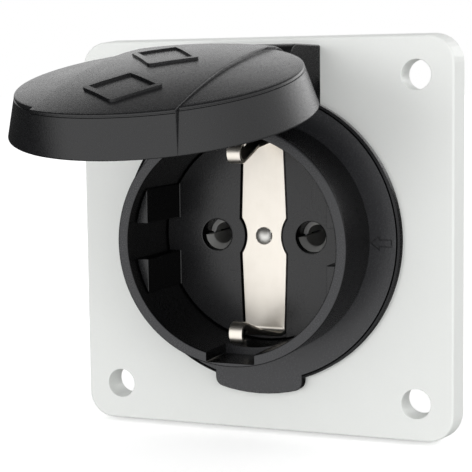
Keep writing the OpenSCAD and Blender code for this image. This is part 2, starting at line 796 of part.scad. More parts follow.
flange();
flange_gasket();
socket_body();
body_seal();
contact_insert();
insert_seal();
terminal_carrier();
earth_strip();
earth_rivet();
earth_bar();
left_contact();
right_contact();
contact_springs();
left_terminal();
right_terminal();
earth_terminal();
terminal_screws();
insert_screws();
hinge_pin();
lid();
lid_gasket();
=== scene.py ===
"""Industrial panel socket with a hinged lid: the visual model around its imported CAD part."""

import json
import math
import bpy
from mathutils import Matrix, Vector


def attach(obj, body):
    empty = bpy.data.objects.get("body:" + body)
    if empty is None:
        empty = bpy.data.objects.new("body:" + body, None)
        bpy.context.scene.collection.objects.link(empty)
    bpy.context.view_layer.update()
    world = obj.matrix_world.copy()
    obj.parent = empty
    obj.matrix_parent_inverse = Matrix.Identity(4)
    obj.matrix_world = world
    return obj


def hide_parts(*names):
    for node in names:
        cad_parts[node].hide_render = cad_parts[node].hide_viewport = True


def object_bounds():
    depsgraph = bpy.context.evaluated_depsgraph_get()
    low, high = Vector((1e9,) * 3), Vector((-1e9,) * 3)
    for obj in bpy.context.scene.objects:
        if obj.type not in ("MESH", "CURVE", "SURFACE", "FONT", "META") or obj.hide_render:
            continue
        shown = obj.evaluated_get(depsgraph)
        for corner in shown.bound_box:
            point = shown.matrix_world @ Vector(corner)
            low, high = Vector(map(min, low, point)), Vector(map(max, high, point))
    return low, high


bl_info = {
    "name": "Industrial Panel Socket",
    "version": (1, 0, 0),
    "blender": (4, 5, 0),
    "location": "View3D > Sidebar > Panel Socket",
    "description": "Builds a flanged panel socket with its hinged lid, contacts and studio stage",
    "category": "Add Mesh",
}

import bmesh
import bpy
from bpy.props import FloatProperty, FloatVectorProperty, PointerProperty
from mathutils import Matrix, Vector

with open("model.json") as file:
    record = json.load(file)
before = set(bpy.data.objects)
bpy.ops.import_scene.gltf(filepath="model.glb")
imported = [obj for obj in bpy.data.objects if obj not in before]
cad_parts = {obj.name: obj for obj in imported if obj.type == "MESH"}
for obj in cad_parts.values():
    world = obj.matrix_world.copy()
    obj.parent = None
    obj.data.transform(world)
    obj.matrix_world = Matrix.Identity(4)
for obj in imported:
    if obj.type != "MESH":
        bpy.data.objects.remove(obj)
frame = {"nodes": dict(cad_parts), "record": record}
CAD_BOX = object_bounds()

MM = 0.001
TURN = 2 * math.pi
SAME_POINT = 1e-7  # metres


# Properties

class LidSizes(bpy.types.PropertyGroup):
    """Sizes of the hinged lid, measured shut"""

    radius: FloatProperty(name="Radius", description="Outer radius at the rim", default=0.025, unit="LENGTH")
    taper: FloatProperty(name="Taper", description="How far the side skirt leans in", default=0.00195,
        unit="LENGTH")
    skirt: FloatProperty(name="Skirt", description="Height of the side skirt", default=0.0068, unit="LENGTH")
    crown: FloatProperty(name="Rise", description="How far the top rises to its middle", default=0.0018,
        unit="LENGTH")
    wall: FloatProperty(name="Wall", description="Wall thickness", default=0.0013, unit="LENGTH")
    band: FloatProperty(name="Band", description="Half width of the raised band", default=0.012,
        unit="LENGTH")
    edge: FloatProperty(name="Edge", description="Radius of the moulded edges", default=0.0003, unit="LENGTH")
    angle: FloatProperty(name="Opening", description="How far the lid stands open", default=math.radians(77),
        subtype="ANGLE")


class StripSizes(bpy.types.PropertyGroup):
    """Sizes of the sprung earth strip"""

    width: FloatProperty(name="Width", description="Width of the strip beside its neck", default=0.009,
        unit="LENGTH")
    end_width: FloatProperty(name="End width", description="Width of the strip at its bends", default=0.008,
        unit="LENGTH")
    tongue: FloatProperty(name="Tongue", description="Width of a clip's tongue", default=0.0026,
        unit="LENGTH")
    thickness: FloatProperty(name="Thickness", description="Sheet thickness", default=0.0007, unit="LENGTH")


class Finishes(bpy.types.PropertyGroup):
    """Colours of the finishes"""

    flange: FloatVectorProperty(name="Flange", description="Light grey moulding", subtype="COLOR", size=3,
        min=0, max=1, default=(0.82, 0.835, 0.815))
    body: FloatVectorProperty(name="Body", description="Black moulding", subtype="COLOR", size=3,
        min=0, max=1, default=(0.008, 0.0082, 0.009))
    rubber: FloatVectorProperty(name="Rubber", description="Seal rubber", subtype="COLOR", size=3,
        min=0, max=1, default=(0.012, 0.012, 0.013))
    nickel: FloatVectorProperty(name="Nickel", description="Plated sheet", subtype="COLOR", size=3,
        min=0, max=1, default=(0.815, 0.77, 0.70))
    carrier: FloatVectorProperty(name="Carrier", description="Dark grey moulding behind the panel",
        subtype="COLOR", size=3, min=0, max=1, default=(0.06, 0.062, 0.066))
    brass: FloatVectorProperty(name="Brass", description="Contact brass", subtype="COLOR", size=3,
        min=0, max=1, default=(0.80, 0.62, 0.30))
    sleeve: FloatVectorProperty(name="Sleeve", description="Dull plating of the contact sleeves",
        subtype="COLOR", size=3, min=0, max=1, default=(0.42, 0.42, 0.41))
    rivet: FloatVectorProperty(name="Rivet", description="Dull plating of the rivet", subtype="COLOR", size=3,
        min=0, max=1, default=(0.78, 0.77, 0.74))
    steel: FloatVectorProperty(name="Steel", description="Zinc plated steel", subtype="COLOR", size=3,
        min=0, max=1, default=(0.70, 0.71, 0.73))


class StageSizes(bpy.types.PropertyGroup):
    """Camera and floor"""

    lens: FloatProperty(name="Lens", description="Focal length for a 36 mm sensor, in mm", default=112.394)
    place: FloatVectorProperty(name="Camera place", description="Where the camera stands", size=3,
        unit="LENGTH", default=(0.099537, -0.263422, 0.029140))
    aim: FloatVectorProperty(name="Camera direction", description="Yaw, pitch and roll", size=3,
        subtype="EULER", default=(0.385709309, 0.104434385, -0.0124084173))
    floor_drop: FloatProperty(name="Floor drop", description="How far the floor lies below the part",
        default=0.0002, unit="LENGTH")


# Mesh building, in millimetres

def rounded(points, radii, steps):
    """A closed outline with its corners rounded by the given radii."""
    out, count = [], len(points)
    for i, corner in enumerate(points):
        r = radii[i] if isinstance(radii, (list, tuple)) else radii
        p, a, b = Vector(corner), Vector(points[i - 1]), Vector(points[(i + 1) % count])
        to_a, to_b = (a - p).normalized(), (b - p).normalized()
        turn = math.acos(max(-1, min(1, to_a.dot(to_b))))
        if r <= 0 or turn > math.pi - 1e-3:
            out.append(tuple(p))
            continue
        reach = r / math.tan(turn / 2)
        centre = p + (to_a + to_b).normalized() * (r / math.sin(turn / 2))
        start, end = p + to_a * reach - centre, p + to_b * reach - centre
        sweep = start.angle_signed(end)
        for k in range(steps + 1):
            angle = -sweep * k / steps
            c, s = math.cos(angle), math.sin(angle)
            out.append((centre.x + start.x * c - start.y * s, centre.y + start.x * s + start.y * c))
    return out


def mesh_object(name, points, faces):
    """An object from points in millimetres, with its normals turned outwards."""
    mesh = bpy.data.meshes.new(name)
    mesh.from_pydata([Vector(p) * MM for p in points], [], faces)
    form = bmesh.new()
    form.from_mesh(mesh)
    bmesh.ops.remove_doubles(form, verts=form.verts, dist=SAME_POINT)
    bmesh.ops.recalc_face_normals(form, faces=form.faces)
    form.to_mesh(mesh)
    form.free()
    obj = bpy.data.objects.new(name, mesh)
    bpy.context.scene.collection.objects.link(obj)
    return obj


def lathe(name, outline, segments=192):
    """Turns a closed outline of radius and height about the socket's axis."""
    points, faces, rows = [], [], []
    for r, h in outline:
        if abs(r) < 1e-6:
            rows.append([len(points)] * segments)
            points.append((0, -h, 0))
        else:
            rows.append([len(points) + k for k in range(segments)])
            points += [(r * math.cos(TURN * k / segments), -h, r * math.sin(TURN * k / segments))
                for k in range(segments)]
    for a, b in zip(rows, rows[1:] + rows[:1]):
        for k in range(segments):
            n = (k + 1) % segments
            quad = [a[k], a[n], b[n], b[k]]
            face = [v for i, v in enumerate(quad) if v != quad[i - 1]]
            if len(set(face)) >= 3:
                faces.append(face)
    return mesh_object(name, points, faces)


def extruded(name, near, far):
    """A solid between two outlines of equal length."""
    n = len(near)
    faces = [list(range(n)), list(range(n, 2 * n))]
    faces += [[i, (i + 1) % n, n + (i + 1) % n, n + i] for i in range(n)]
    return mesh_object(name, near + far, faces)


def prism(name, outline, h0, h1):
    """Extrudes an outline of X and Z between two heights."""
    return extruded(name, *([(x, -h, z) for x, z in outline] for h in (h0, h1)))


def side_prism(name, outline, x0, x1):
    """Extrudes a side view of Z and height along X."""
    return extruded(name, *([(x, -h, z) for z, h in outline] for x in (x0, x1)))


def circle(radius, steps, centre=(0, 0)):
    """The corners of a circle."""
    angles = [TURN * k / steps for k in range(steps)]
    return [(centre[0] + radius * math.cos(a), centre[1] + radius * math.sin(a)) for a in angles]


def bake(obj):
    """Applies the object's modifiers."""
    view = bpy.context.evaluated_depsgraph_get()
    mesh = bpy.data.meshes.new_from_object(obj.evaluated_get(view))
    old = obj.data
    obj.modifiers.clear()
    obj.data = mesh
    bpy.data.meshes.remove(old)


def drop(obj):
    """Removes an object and its mesh."""
    mesh = obj.data
    bpy.data.objects.remove(obj)
    bpy.data.meshes.remove(mesh)


def join_solid(base, others, operation):
    """Unites the base with other solids, or cuts them out of it."""
    for other in others:
        m = base.modifiers.new("solid", "BOOLEAN")
        m.operation, m.object, m.solver = operation, other, "EXACT"
        bake(base)
        drop(other)
    return base


def soften(obj, width, angle, segments=3):
    """Rounds the edges sharper than an angle in degrees by a width in millimetres."""
    m = obj.modifiers.new("edges", "BEVEL")
    m.width, m.segments, m.limit_method = width * MM, segments, "ANGLE"
    m.angle_limit = math.radians(angle)
    m.use_clamp_overlap = False
    bake(obj)


def clear_slivers(obj, reach=0.003):
    """Merges points within the reach in millimetres, and mends what this and the joins leave behind."""
    form = bmesh.new()
    form.from_mesh(obj.data)
    bmesh.ops.remove_doubles(form, verts=form.verts, dist=reach * MM)
    bmesh.ops.dissolve_degenerate(form, edges=form.edges, dist=reach * MM)
    bmesh.ops.triangulate(form, faces=[f for f in form.faces if len(f.verts) > 4])
    bmesh.ops.dissolve_degenerate(form, edges=form.edges, dist=reach * MM)
    bmesh.ops.holes_fill(form, edges=[e for e in form.edges if e.is_boundary], sides=6)
    bmesh.ops.recalc_face_normals(form, faces=form.faces)
    form.to_mesh(obj.data)
    form.free()


def smooth(obj, angle):
    """Cleans the mesh and shades it smooth up to an edge angle, with flat faces kept flat."""
    clear_slivers(obj)
    obj.data.polygons.foreach_set("use_smooth", [True] * len(obj.data.polygons))
    obj.data.set_sharp_from_angle(angle=math.radians(angle))
    m = obj.modifiers.new("normals", "WEIGHTED_NORMAL")
    m.keep_sharp = True


def install(obj, body, slot, material, *nodes):
    """Puts a finished piece on its body, in place of its CAD nodes."""
    obj.data.materials.clear()
    obj.data.materials.append(material)
    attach(obj, body)
    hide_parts(*nodes)


# Shader nodes

MOULD_RELIEF, PLATE_RELIEF = 0.00004, 0.00002  # metres
# Painted shade: faces turned sideways are given a darker colour and less gloss than faces turned to the
# front.
SIDE_FROM, FRONT_FROM = -0.5, -0.95  # a face's normal along Y where it counts as side or as front


def add(tree, kind, inputs=None, **settings):
    """A shader node with its settings, input values and links."""
    made = tree.nodes.new(kind)
    for key, value in settings.items():
        setattr(made, key, value)
    for key, value in (inputs or {}).items():
        if isinstance(value, bpy.types.NodeSocket):
            tree.links.new(value, made.inputs[key])
        else:
            made.inputs[key].default_value = value
    return made


def group(name, inputs, outputs):
    """A new shader group with named sockets: its tree, its input values and its output sockets."""
    tree = bpy.data.node_groups.new(name, "ShaderNodeTree")
    for label, kind, value in inputs:
        tree.interface.new_socket(name=label, in_out="INPUT", socket_type=kind).default_value = value
    for label, kind in outputs:
        tree.interface.new_socket(name=label, in_out="OUTPUT", socket_type=kind)
    return tree, tree.nodes.new("NodeGroupInput").outputs, tree.nodes.new("NodeGroupOutput").inputs


def moulded_surface():
    """Spark-eroded plastic: speckle, mottle and a height; its front faces get their own colour and gloss, its
    side faces a darker colour and less gloss as painted shade.
    """
    name = "Moulded Surface"
    if name in bpy.data.node_groups:
        return bpy.data.node_groups[name]
    tree, given, out = group(name, [("Color", "NodeSocketColor", (0.5, 0.5, 0.5, 1)),
        ("Shaded Side Color", "NodeSocketColor", (0.5, 0.5, 0.5, 1)),
        ("Speckle", "NodeSocketFloat", 0.2), ("Mottle", "NodeSocketFloat", 0.1),
        ("Grain Size", "NodeSocketFloat", 3000.0), ("Roughness", "NodeSocketFloat", 0.45),
        ("Gloss", "NodeSocketFloat", 0.5), ("Shaded Side Gloss", "NodeSocketFloat", 0.5)],
        [("Color", "NodeSocketColor"), ("Roughness", "NodeSocketFloat"), ("Height", "NodeSocketFloat"),
        ("Gloss", "NodeSocketFloat")])
    coord = add(tree, "ShaderNodeTexCoord").outputs
    at = coord["Object"]
    # Painted shade: faces turned sideways take the darker side colour and the lower side gloss.
    facing = add(tree, "ShaderNodeSeparateXYZ", {0: coord["Normal"]}).outputs[1]
    front = add(tree, "ShaderNodeMapRange", {"Value": facing, "From Min": SIDE_FROM, "From Max": FRONT_FROM},
        interpolation_type="SMOOTHSTEP").outputs[0]
    tone_with_painted_shade = add(tree, "ShaderNodeMix", {"Factor": front, 6: given["Shaded Side Color"], 7: given["Color"]},
        data_type="RGBA").outputs[2]
    gloss = add(tree, "ShaderNodeMix", {"Factor": front, 2: given["Shaded Side Gloss"], 3: given["Gloss"]},
        data_type="FLOAT").outputs[0]
    fine = add(tree, "ShaderNodeTexNoise", {"Vector": at, "Scale": given["Grain Size"], "Detail": 2.0,
        "Roughness": 0.65}).outputs["Fac"]
    broad = add(tree, "ShaderNodeTexNoise", {"Vector": at, "Scale": 180.0, "Detail": 3.0}).outputs["Fac"]
    swing = add(tree, "ShaderNodeMath", {0: fine, 1: 0.5}, operation="SUBTRACT").outputs[0]
    sway = add(tree, "ShaderNodeMath", {0: broad, 1: 0.5}, operation="SUBTRACT").outputs[0]
    a = add(tree, "ShaderNodeMath", {0: swing, 1: given["Speckle"]}, operation="MULTIPLY").outputs[0]
    b = add(tree, "ShaderNodeMath", {0: sway, 1: given["Mottle"]}, operation="MULTIPLY").outputs[0]
    level = add(tree, "ShaderNodeMath", {0: a, 1: b}, operation="ADD").outputs[0]
    gain = add(tree, "ShaderNodeMath", {0: level, 1: 1.0}, operation="ADD").outputs[0]
    tint = add(tree, "ShaderNodeVectorMath", {0: tone_with_painted_shade, 3: gain}, operation="SCALE").outputs[0]
    rough = add(tree, "ShaderNodeMath", {0: level, 1: 0.35, 2: given["Roughness"]},
        operation="MULTIPLY_ADD").outputs[0]
    tree.links.new(tint, out["Color"])
    tree.links.new(rough, out["Roughness"])
    tree.links.new(fine, out["Height"])
    tree.links.new(gloss, out["Gloss"])
    return tree


def plated_surface():
    """Rolled and plated sheet: fine scratches along Z, soft tarnish clouds and a height."""
    name = "Plated Surface"
    if name in bpy.data.node_groups:
        return bpy.data.node_groups[name]
    tree, given, out = group(name, [("Color", "NodeSocketColor", (0.8, 0.8, 0.8, 1)),
        ("Tarnish", "NodeSocketColor", (0.5, 0.45, 0.35, 1)), ("Tarnish Amount", "NodeSocketFloat", 0.2),
        ("Roughness", "NodeSocketFloat", 0.25)],
        [("Color", "NodeSocketColor"), ("Roughness", "NodeSocketFloat"), ("Height", "NodeSocketFloat")])
    at = add(tree, "ShaderNodeTexCoord").outputs["Object"]
    drawn = add(tree, "ShaderNodeMapping", {"Vector": at, "Scale": (6000.0, 6000.0, 220.0)}).outputs[0]
    lines = add(tree, "ShaderNodeTexNoise", {"Vector": drawn, "Scale": 1.0, "Detail": 2.0}).outputs["Fac"]
    cloud = add(tree, "ShaderNodeTexNoise", {"Vector": at, "Scale": 350.0, "Detail": 4.0}).outputs["Fac"]
    mask = add(tree, "ShaderNodeMapRange", {"Value": cloud, "From Min": 0.45, "From Max": 0.75,
        "To Max": given["Tarnish Amount"]}).outputs[0]
    tint = add(tree, "ShaderNodeMix", {"Factor": mask, 6: given["Color"], 7: given["Tarnish"]},
        data_type="RGBA").outputs[2]
    rough = add(tree, "ShaderNodeMath", {0: lines, 1: 0.12, 2: given["Roughness"]},
        operation="MULTIPLY_ADD").outputs[0]
    tree.links.new(tint, out["Color"])
    tree.links.new(rough, out["Roughness"])
    tree.links.new(lines, out["Height"])
    return tree


def material(name):
    """A new material, its node tree and its Principled shader."""
    made = bpy.data.materials.new(name)
    made.use_nodes = True
    tree = made.node_tree
    return made, tree, tree.nodes["Principled BSDF"]


def moulded(name, color, speckle, mottle, grain, roughness, bump, gloss=0.5, side=None, shaded_side_gloss=None):
    """A moulded plastic or rubber; its sides can be given a darker colour and less gloss than its front, as
    painted shade.
    """
    if name in bpy.data.materials:
        return bpy.data.materials[name]
    made, tree, shader = material(name)
    skin = add(tree, "ShaderNodeGroup", node_tree=moulded_surface())
    # The side colour and side gloss are painted shade on faces turned sideways.
    for key, value in (("Color", (*color, 1)), ("Shaded Side Color", (*(side or color), 1)), ("Speckle", speckle),
            ("Mottle", mottle), ("Grain Size", grain), ("Roughness", roughness)):
        skin.inputs[key].default_value = value
    if shaded_side_gloss is None:
        shader.inputs["Specular IOR Level"].default_value = gloss
    else:
        skin.inputs["Gloss"].default_value, skin.inputs["Shaded Side Gloss"].default_value = gloss, shaded_side_gloss
        tree.links.new(skin.outputs["Gloss"], shader.inputs["Specular IOR Level"])
    tree.links.new(skin.outputs["Color"], shader.inputs["Base Color"])
    tree.links.new(skin.outputs["Roughness"], shader.inputs["Roughness"])
    height = add(tree, "ShaderNodeBump", {"Height": skin.outputs["Height"], "Strength": bump,
        "Distance": MOULD_RELIEF})
    tree.links.new(height.outputs[0], shader.inputs["Normal"])
    return made


def plated(name, color, tarnish, amount, roughness, bump, metallic=1.0):
    """A plated or bare metal."""
    if name in bpy.data.materials:
        return bpy.data.materials[name]
    made, tree, shader = material(name)
    skin = add(tree, "ShaderNodeGroup", node_tree=plated_surface())
    for key, value in (("Color", (*color, 1)), ("Tarnish", (*tarnish, 1)), ("Tarnish Amount", amount),
            ("Roughness", roughness)):
        skin.inputs[key].default_value = value
    shader.inputs["Metallic"].default_value = metallic
    tree.links.new(skin.outputs["Color"], shader.inputs["Base Color"])
    tree.links.new(skin.outputs["Roughness"], shader.inputs["Roughness"])
    height = add(tree, "ShaderNodeBump", {"Height": skin.outputs["Height"], "Strength": bump,
        "Distance": PLATE_RELIEF})
    tree.links.new(height.outputs[0], shader.inputs["Normal"])
    return made


def finish_of(finish):
    """The material for a slot of the record, or for a piece with a finish of its own."""
    c = bpy.context.scene.panel_socket.finishes

    def shade(factor):
        return [factor * v for v in c.body]

    if finish == "flange_grey":
        return moulded("Flange_Grey_Plastic", c.flange, speckle=0.03, mottle=0.02, grain=2500.0,
            roughness=0.42, bump=0.06)
    # Painted shade: the collar's side walls take a tenth of the front's colour and less gloss.
    if finish == "collar":
        return moulded("Collar_Black_Plastic", shade(3), speckle=0.5, mottle=0.2, grain=4200.0,
            roughness=0.26, bump=0.5, side=shade(0.3), shaded_side_gloss=0.18)
    # Painted shade: the insert's side walls take a sixth of the front's colour and almost no gloss.
    if finish == "insert":
        return moulded("Insert_Black_Plastic", shade(1.2), speckle=0.5, mottle=0.2, grain=4200.0,
            roughness=0.26, bump=0.5, side=shade(0.2), shaded_side_gloss=0.06)
    if finish == "body_black":
        return moulded("Body_Black_Plastic", c.body, speckle=1.2, mottle=0.2, grain=4200.0,
            roughness=0.24, bump=0.62)
    if finish == "carrier_grey":
        return moulded("Carrier_Grey_Plastic", c.carrier, speckle=0.15, mottle=0.1, grain=3000.0,
            roughness=0.5, bump=0.2)
    if finish == "seal_rubber":
        return moulded("Seal_Rubber", c.rubber, speckle=0.2, mottle=0.3, grain=2600.0,
            roughness=0.62, bump=0.3, gloss=0.4)
    if finish == "nickel_plate":
        return plated("Nickel_Plate", c.nickel, tarnish=(0.5, 0.45, 0.36), amount=0.10,
            roughness=0.30, bump=0.0)
    if finish == "contact_brass":
        return plated("Contact_Brass", c.brass, tarnish=(0.35, 0.22, 0.09), amount=0.4,
            roughness=0.28, bump=0.08)
    if finish == "sleeve":
        return plated("Sleeve_Plating", c.sleeve, tarnish=(0.2, 0.19, 0.17), amount=0.3,
            roughness=0.5, bump=0.1, metallic=0.35)
    if finish == "rivet":
        return plated("Rivet_Plating", c.rivet, tarnish=(0.3, 0.28, 0.24), amount=0.2,
            roughness=0.42, bump=0.0)
    if finish == "zinc_steel":
        return plated("Zinc_Steel", c.steel, tarnish=(0.5, 0.5, 0.42), amount=0.25,
            roughness=0.33, bump=0.08)
    raise ValueError("no finish named " + finish)


# Lid, drawn closed: X, Z and height above its rim plane, in millimetres

RIM_H = 17.6
HINGE_Z, HINGE_H = 31.0, 18.25
SHOULDER_Z = 25.9
# The band's top: an arc of Z and height, crowned across, that bends down to the shoulder
ARC_R, ARC_Z, ARC_H = 141.70, 1.5, -132.45
CROSS_R = 118.0
BEND_R, BEND_Z, BEND_H, BEND_FROM = 20.0, 15.471, -11.54, 18.6
BAND_LOW, BAND_PROUD, BAND_LEAN, BAND_SOFT = 0.03, 0.02, 0.8, 0.12
BAND_ABOVE_SKIRT = 0.1
GROOVE = ((-0.62, 0.0), (-0.54, 0.16), (-0.40, 0.16), (-0.32, 0.0))  # height below the edge, and depth
FOOT_ROUND, SHOULDER_ROUND = 0.25, 0.4
KNUCKLE_R, KNUCKLE_HALF, NECK_UNDER, NECK_OVER, NECK_REACH = 3.4, 7.7, 0.45, 3.0, 2.0
BORE_R, BORE_HALF = 1.3, 9
HOLLOW_SLACK, HOLLOW_CORNER, HOLLOW_ROUND = 0.1, 0.59, 0.5
RIB_IN, RIB_OUT, RIB_FOOT, RIB_ROOT = 18.75, 19.65, 4.7, 0.4
# Each mark's middle, size and turn in degrees
MARKS = (((0.1, -13.4), (10.2, 9.0), -38), ((-0.8, 4.6), (12.8, 8.3), -52))
MARK_CORNER, MARK_LINE, MARK_HEIGHT, MARK_ROOT = 0.9, 0.9, 0.4, 0.3


def opened(angle):
    """The turn that opens the lid about its hinge pin."""
    hinge = Vector((0, -HINGE_H, HINGE_Z)) * MM
    return Matrix.Translation(hinge) @ Matrix.Rotation(-angle, 4, "X") @ Matrix.Translation(-hinge)


def band_height(x, z):
    """Height of the raised band's top above the rim plane."""
    fall = CROSS_R - math.sqrt(CROSS_R ** 2 - x * x)
    if z < BEND_FROM:
        return ARC_H + math.sqrt((ARC_R - fall) ** 2 - (z - ARC_Z) ** 2)
    return BEND_H + math.sqrt((BEND_R - fall) ** 2 - (z - BEND_Z) ** 2)


def skirt_groove(radius, lean, top):
    """A fine groove in the skirt just below its upper edge."""
    return [(radius - lean * (top + h) - deep, top + h) for h, deep in GROOVE]


def band_profile(x, sink, p):
    """Side view of the band, Z and height, at a distance from its middle, drawn in by sink."""
    h = p["skirt"] + BAND_ABOVE_SKIRT
    foot, lean = p["radius"] + BAND_PROUD - sink, BAND_LEAN / h
    for _ in range(6):
        z = -math.sqrt((foot - lean * h) ** 2 - x * x)
        h = band_height(x, z) - sink
    corners = [((-math.sqrt(foot ** 2 - x * x), BAND_LOW), FOOT_ROUND)]
    corners += [((-math.sqrt(r * r - x * x), q), 0) for r, q in skirt_groove(foot, lean, h)]
    corners.append(((z, h), p["edge"]))
    rows, bend_rows = 44, 12
    for k in range(1, rows + 1):
        at = z + (BEND_FROM - z) * k / rows
        corners.append(((at, band_height(x, min(at, BEND_FROM - 1e-6)) - sink), 0))
    end = SHOULDER_Z - sink
    for k in range(1, bend_rows + 1):
        at = BEND_FROM + (end - BEND_FROM) * k / bend_rows
        corners.append(((at, band_height(x, at) - sink), SHOULDER_ROUND if k == bend_rows else 0))
    corners.append(((end, BAND_LOW), 0))
    return rounded([c for c, _ in corners], [r for _, r in corners], 4)


def loft(name, rows):
    """Joins closed outlines of equal length into one solid."""
    n = len(rows[0])
    points = [p for row in rows for p in row]
    faces = [[i * n + j, i * n + (j + 1) % n, (i + 1) * n + (j + 1) % n, (i + 1) * n + j]
        for i in range(len(rows) - 1) for j in range(n)]
    faces += [list(range(n)), [(len(rows) - 1) * n + j for j in range(n)]]
    return mesh_object(name, points, faces)


def band_solid(p):
    """The raised band across the lid."""
    half, spans = p["band"], 24
    edge = [(-half + BAND_SOFT * (1 - math.cos(a)), BAND_SOFT * (1 - math.sin(a)))
        for a in (0, math.pi / 6, math.pi / 3, math.pi / 2)]
    inner = half - BAND_SOFT
    columns = edge + [(-inner + 2 * inner * k / spans, 0.0) for k in range(1, spans)]
    columns += [(-x, sink) for x, sink in reversed(edge)]
    return loft("band", [[(x, -(RIM_H + h), z) for z, h in band_profile(x, sink, p)] for x, sink in columns])


def raised_frame(middle, size, turn):
    """A plain raised frame with round corners that follows the band's top."""
    c, s = math.cos(turn), math.sin(turn)
    points, between = [], 3
    for inset in (0, MARK_LINE):
        w, h = size[0] / 2 - inset, size[1] / 2 - inset
        flat = rounded([(-w, -h), (w, -h), (w, h), (-w, h)], max(MARK_CORNER - inset, 0.1), 4)
        loop = []
        for (x0, z0), (x1, z1) in zip(flat, flat[1:] + flat[:1]):
            loop += [(x0 + (x1 - x0) * k / between, z0 + (z1 - z0) * k / between) for k in range(between)]
        loop = [(middle[0] + x * c - z * s, middle[1] + x * s + z * c) for x, z in loop]
        for level in (-MARK_ROOT, MARK_HEIGHT):
            points += [(x, -(RIM_H + band_height(x, z) + level), z) for x, z in loop]
    n = len(points) // 4
    foot, top, inner_foot, inner_top = (range(i * n, i * n + n) for i in range(4))
    faces = []
    for p, q in ((foot, top), (top, inner_top), (inner_top, inner_foot), (inner_foot, foot)):
        faces += [[p[j], p[(j + 1) % n], q[(j + 1) % n], q[j]] for j in range(n)]
    return mesh_object("mark", points, faces)


def crowned_shell(p):
    """The lid's round moulding without its band, still solid inside, with its ball's radius and its apex."""
    r, skirt, apex = p["radius"], p["skirt"], p["skirt"] + p["crown"]
    lean, top_r, rings = p["taper"] / skirt, r - p["taper"], 30
    ball = (top_r ** 2 + p["crown"] ** 2) / (2 * p["crown"])
    corners = [((0, 0), 0), ((r, 0), FOOT_ROUND)]
    corners += [(c, 0) for c in skirt_groove(r, lean, skirt)]
    corners.append(((top_r, skirt), p["edge"]))
    corners += [((x, apex - ball + math.sqrt(ball ** 2 - x * x)), 0)
        for x in [top_r * (1 - k / rings) for k in range(1, rings)]]
    corners.append(((0, apex), 0))
    outline = rounded([c for c, _ in corners], [q for _, q in corners], 4)
    return lathe("Lid_Moulding", [(x, RIM_H + h) for x, h in outline], 256), ball, apex


def lid_mesh(sizes):
    """The lid as one moulding, turned open."""
    keys = ("radius", "taper", "skirt", "crown", "wall", "band", "edge")
    p = {key: getattr(sizes, key) / MM for key in keys}
    lid, ball, apex = crowned_shell(p)
    join_solid(lid, [band_solid(p)], "UNION")

    def roof(x):
        return apex - ball + math.sqrt((ball - p["wall"]) ** 2 - x * x)

    foot, corner, rings = p["radius"] - p["wall"] - HOLLOW_SLACK, p["radius"] - p["taper"] - HOLLOW_CORNER, 20
    outline = [((0, -1), 0), ((foot, -1), 0), ((corner, roof(corner)), HOLLOW_ROUND)]
    outline += [((x, roof(x)), 0) for x in [corner * (1 - k / rings) for k in range(1, rings)]]
    outline.append(((0, roof(0)), 0))
    outline = rounded([c for c, _ in outline], [q for _, q in outline], 4)
    join_solid(lid, [lathe("hollow", [(x, RIM_H + h) for x, h in outline], 256)], "DIFFERENCE")

    pin, reach = (HINGE_Z, HINGE_H), SHOULDER_Z - NECK_REACH
    knuckle = side_prism("knuckle", circle(KNUCKLE_R, 64, pin), -KNUCKLE_HALF, KNUCKLE_HALF)
    neck = side_prism("neck", [(HINGE_Z, HINGE_H - NECK_UNDER), (reach, HINGE_H - NECK_UNDER),
        (reach, HINGE_H + NECK_OVER), (HINGE_Z, HINGE_H + NECK_OVER)], -KNUCKLE_HALF, KNUCKLE_HALF)
    join_solid(knuckle, [neck], "UNION")
    join_solid(lid, [knuckle], "UNION")
    join_solid(lid, [side_prism("bore", circle(BORE_R, 48, pin), -BORE_HALF, BORE_HALF)], "DIFFERENCE")

    rib = lathe("rib", [(RIB_IN, RIM_H + RIB_FOOT), (RIB_OUT, RIM_H + RIB_FOOT),
        (RIB_OUT, RIM_H + roof(RIB_OUT) + RIB_ROOT), (RIB_IN, RIM_H + roof(RIB_IN) + RIB_ROOT)])
    marks = [raised_frame(middle, size, math.radians(turn)) for middle, size, turn in MARKS]
    join_solid(lid, [rib] + marks, "UNION")
    lid.data.transform(opened(sizes.angle))
    return lid


# Socket body: radii, and heights above the panel, in millimetres

COLLAR_OUT, COLLAR_IN, COLLAR_TOP, COLLAR_OUT_ROUND, COLLAR_IN_ROUND = 22, 20, 21.9, 0.42, 0.35
BARREL_R, BARREL_BACK = 23.5, -6
DISC_R, DISC_BACK, DISC_TOP = 27.6, 5.7, 8.0
# The fine line near the disc's edge, as corners of radius and height
DISC_EDGE = ((DISC_R, 7.5), (27.2, 7.9), (27.08, 7.6), (26.92, DISC_TOP))
TAB_HALF, TAB_ROOT_Z, TAB_SIDE_Z, TAB_R, TAB_ROUND = 8.75, 24, 28.3, 29.6, 1.8
LUG_IN, LUG_OUT, LUG_LOW, LUG_HIGH, LUG_HALF_ANGLE = 23.0, 25.25, 0.3, 2.2, 12
SEAL_IN, SEAL_OUT, SEAL_LOW, SEAL_HIGH = 25.65, 26.95, 4.7, 6.5
NOTCH_HALF, NOTCH_LOW_Z, NOTCH_HIGH_Z, NOTCH_FLOOR = 4.7, -21.3, -18.3, 12.4
SCREW_R, SCREW_AT, SCREW_END = 1.08, 15.45, 1.5
ARROW_TIP, ARROW_HEAD, ARROW_BACK, ARROW_MID = 22.5, 23.7, 26.0, -0.27
ARROW_WING, ARROW_SHAFT, ARROW_TOP, ARROW_LINE, ARROW_LINE_DEPTH = 1.07, 0.5, 8.04, 0.26, 0.3
